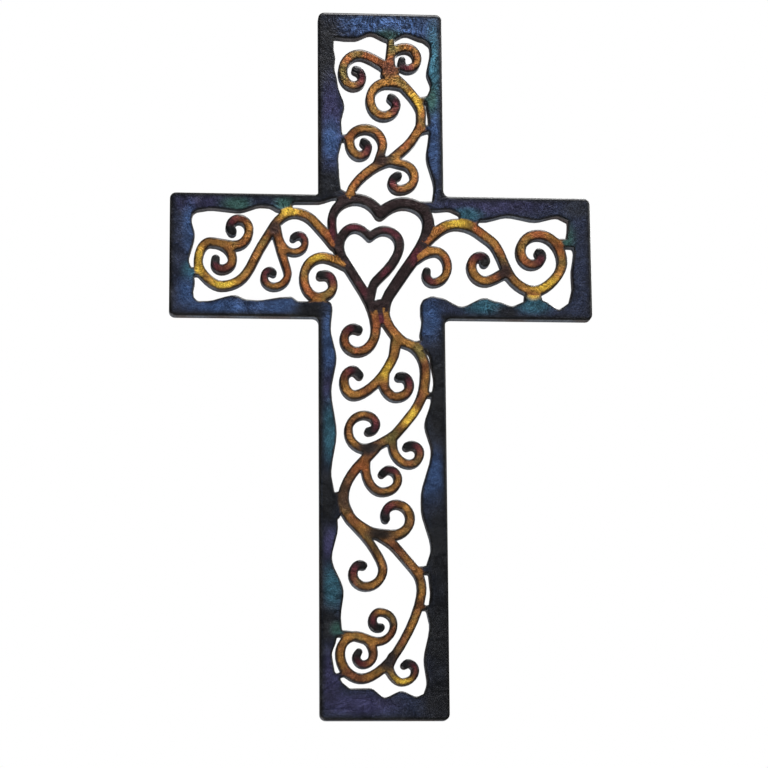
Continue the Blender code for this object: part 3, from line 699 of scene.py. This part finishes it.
@dataclass
class CrossPlate:
    """The plate itself, with its ground and rounded front edges."""

    round_wide: float = 1.2
    round_deep: float = 0.6
    ring_places: tuple[float, ...] = (0.1, 0.3, 0.65, 1.2)
    longest_edges: tuple[float, ...] = (12.0, 6.0, 3.0, 1.6, 1.0)
    crisp_degrees: float = 50.0

    def build(self, node: bpy.types.Object, patina: Patina) -> bpy.types.Object:
        """Make the dressed plate.

        Args:
            node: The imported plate.
            patina: Where the dyes lie.

        Returns:
            The new plate.
        """
        bm = bmesh.new()
        bm.from_mesh(node.data)
        bmesh.ops.remove_doubles(bm, verts=bm.verts[:], dist=1e-6)
        front = [face for face in bm.faces if face.normal.y < -0.9]
        self.sort_faces(bm)
        walls = self.wall_tree(bm)
        self.ring(bm, front)
        self.refine(bm, front)
        marks = self.round_front(bm, walls)
        mesh = bpy.data.meshes.new("cross_plate")
        bm.to_mesh(mesh)
        self.paint(mesh, marks, patina)
        bm.free()
        mesh.set_sharp_from_angle(angle=math.radians(self.crisp_degrees))
        for finish in (DyedSteel(), CutEdge(), MillBack()):
            mesh.materials.append(finish.build())
        plate = bpy.data.objects.new("cross_plate", mesh)
        bpy.context.scene.collection.objects.link(plate)
        return plate

    @staticmethod
    def sort_faces(bm: bmesh.types.BMesh) -> None:
        """Give front, walls and back their finish and shade them smooth."""
        for face in bm.faces:
            face.smooth = True
            face.material_index = 0 if face.normal.y < -0.9 else 2 if face.normal.y > 0.9 else 1

    @staticmethod
    def wall_tree(bm: bmesh.types.BMesh) -> BVHTree:
        """Search tree of the cut walls, to measure how far a place is from the edge."""
        walls = bm.copy()
        flat = [face for face in walls.faces if face.material_index != 1]
        bmesh.ops.delete(walls, geom=flat, context="FACES_ONLY")
        tree = BVHTree.FromBMesh(walls)
        walls.free()
        return tree

    def ring(self, bm: bmesh.types.BMesh, front: list[bmesh.types.BMFace]) -> None:
        """Lay rings of faces along every edge of the front, for its rounding."""
        done = 0.0
        for place in self.ring_places:
            bmesh.ops.inset_region(bm, faces=front, use_boundary=True, use_even_offset=True,
                                   thickness=(place - done) * MM, depth=0.0)
            done = place

    def refine(self, bm: bmesh.types.BMesh, front: list[bmesh.types.BMFace]) -> None:
        """Break the middle of the front into even triangles, for the dye's soft borders."""
        inner = set(front)
        for longest in self.longest_edges:
            edges = {edge for face in inner for edge in face.edges
                     if edge.calc_length() > longest * MM and all(f in inner for f in edge.link_faces)}
            faces_before = set(bm.faces) - inner
            bmesh.ops.subdivide_edges(bm, edges=list(edges), cuts=1, use_grid_fill=True)
            inner = set(bm.faces) - faces_before
            tris = bmesh.ops.triangulate(bm, faces=list(inner))["faces"]
            inner = set(tris) | {face for face in inner if face.is_valid}
            within = [edge for edge in {e for f in inner for e in f.edges}
                      if len(edge.link_faces) == 2 and all(f in inner for f in edge.link_faces)]
            bmesh.ops.beautify_fill(bm, faces=list(inner), edges=within)
            inner = set(bm.faces) - faces_before

    def round_front(self, bm: bmesh.types.BMesh, walls: BVHTree) -> dict[int, float]:
        """Round the front off towards its edges.

        Args:
            bm: The plate.
            walls: Its cut walls.

        Returns:
            Distance to the nearest edge in millimetres, by vertex number.
        """
        bm.verts.index_update()
        marks = {}
        for vert in bm.verts:
            if vert.co.y > FRONT + 1e-6:
                continue
            far = walls.find_nearest(vert.co)[3] / MM
            marks[vert.index] = far
            if far < self.round_wide:
                slope = 1 - far / self.round_wide
                vert.co.y += self.round_deep * MM * (1 - math.sqrt(1 - slope * slope))
        bm.normal_update()
        return marks

    @staticmethod
    def outer_gap(x: float, z: float) -> float:
        """Distance in millimetres from a place to the nearest outer edge of the cross."""
        half, reach, top, bottom, height = 33.5, 112.5, -102.0, -169.0, -381.0
        upright = min(half - abs(x), -z, z - height)
        arms = min(reach - abs(x), top - z, z - bottom)
        return max(upright, arms)

    def paint(self, mesh: bpy.types.Mesh, marks: dict[int, float], patina: Patina) -> None:
        """Write the dye, the grinding and the distance to the edge into the mesh."""
        for name, kind in (("dye", "FLOAT_COLOR"), ("ground", "FLOAT"), ("rim", "FLOAT")):
            mesh.attributes.new(name, kind, "POINT")
        dye, ground, rim = (mesh.attributes[name] for name in ("dye", "ground", "rim"))
        for i, far in marks.items():
            place = mesh.vertices[i].co
            x, z = place.x / MM, (place.z - TOP) / MM
            colour, bright = patina.at(x, z, self.outer_gap(x, z))
            dye.data[i].color = (*colour, 1.0)
            ground.data[i].value = bright
            rim.data[i].value = far


@dataclass(frozen=True)
class Softbox:
    """A square studio light: its place, size and power."""

    name: str
    place: tuple[float, float, float]
    size: float
    power: float

    def build(self, aim: Vector) -> None:
        """Hang the light and turn it to the cross."""
        data = bpy.data.lights.new(self.name, "AREA")
        data.size = self.size
        data.energy = self.power
        lamp = bpy.data.objects.new(self.name, data)
        lamp.location = self.place
        lamp.rotation_mode = "QUATERNION"
        lamp.rotation_quaternion = (aim - Vector(self.place)).to_track_quat("-Z", "Y")
        bpy.context.scene.collection.objects.link(lamp)


@dataclass
class Studio:
    """Pale floor far below the hanging cross, white surround, softboxes and camera."""

    floor_level: float = -1.45
    floor_size: float = 12.0
    camera_place: tuple[float, float, float] = (-0.1196, -1.3735, -0.4762)
    camera_aim: tuple[float, float, float] = (0.0007, -0.00635, -0.1988)
    camera_roll: float = -0.43
    lens: float = 124.65
    surround: float = 0.09
    lights: tuple[Softbox, ...] = (
        Softbox("key", (0.25, -0.9, 1.0), 0.6, 17.0),
        Softbox("fill", (1.2, -1.2, 0.3), 0.8, 5.0),
        Softbox("low", (-0.8, -0.5, -1.1), 0.7, 10.0),
        Softbox("rear", (0.6, 1.4, 0.6), 0.8, 16.0),
    )

    def build(self) -> None:
        """Set up everything round the cross."""
        self.floor()
        self.world()
        for light in self.lights:
            light.build(Vector(self.camera_aim))
        self.camera()

    def floor(self) -> None:
        """Lay the floor."""
        bm = bmesh.new()
        bmesh.ops.create_grid(bm, x_segments=1, y_segments=1, size=self.floor_size / 2)
        bmesh.ops.translate(bm, vec=(0.0, 0.0, self.floor_level), verts=bm.verts[:])
        mesh = bpy.data.meshes.new("floor")
        bm.to_mesh(mesh)
        bm.free()
        material = bpy.data.materials.new("pale_floor")
        material.use_nodes = True
        shader = material.node_tree.nodes["Principled BSDF"]
        shader.inputs["Base Color"].default_value = (0.82, 0.82, 0.82, 1.0)
        shader.inputs["Roughness"].default_value = 0.8
        mesh.materials.append(material)
        floor = bpy.data.objects.new("floor", mesh)
        bpy.context.scene.collection.objects.link(floor)

    def world(self) -> None:
        """Light the cross with a dim surround that the camera sees as white."""
        world = bpy.data.worlds.new("surround")
        bpy.context.scene.world = world
        world.use_nodes = True
        kit = Kit(world.node_tree)
        seen = kit.out(kit.add("ShaderNodeLightPath", {}, {}), "Is Camera Ray")
        strength = self.surround + seen * (1.0 - self.surround)
        back = world.node_tree.nodes["Background"]
        back.inputs["Color"].default_value = (1.0, 1.0, 1.0, 1.0)
        world.node_tree.links.new(strength.socket, back.inputs["Strength"])
        bpy.context.scene.view_settings.view_transform = "Standard"

    def camera(self) -> None:
        """Set the camera a little to the left of the cross and below it."""
        data = bpy.data.cameras.new("camera")
        data.lens = self.lens
        data.clip_end = 50.0
        camera = bpy.data.objects.new("camera", data)
        place = Vector(self.camera_place)
        camera.location = place
        look = (Vector(self.camera_aim) - place).to_track_quat("-Z", "Y")
        camera.rotation_mode = "QUATERNION"
        camera.rotation_quaternion = look @ Quaternion((0.0, 0.0, 1.0), math.radians(self.camera_roll))
        bpy.context.scene.collection.objects.link(camera)
        bpy.context.scene.camera = camera


def main() -> None:
    """Build the cross and its studio."""
    logging.basicConfig(level=logging.INFO, format="%(message)s")
    plate = CrossPlate().build(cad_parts[NODE], Patina())
    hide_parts(NODE)
    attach(plate, "root")
    LOG.info("%s: %d faces", plate.name, len(plate.data.polygons))
    Studio().build()
    LOG.info("studio set up")


if __name__ == "__main__":
    main()
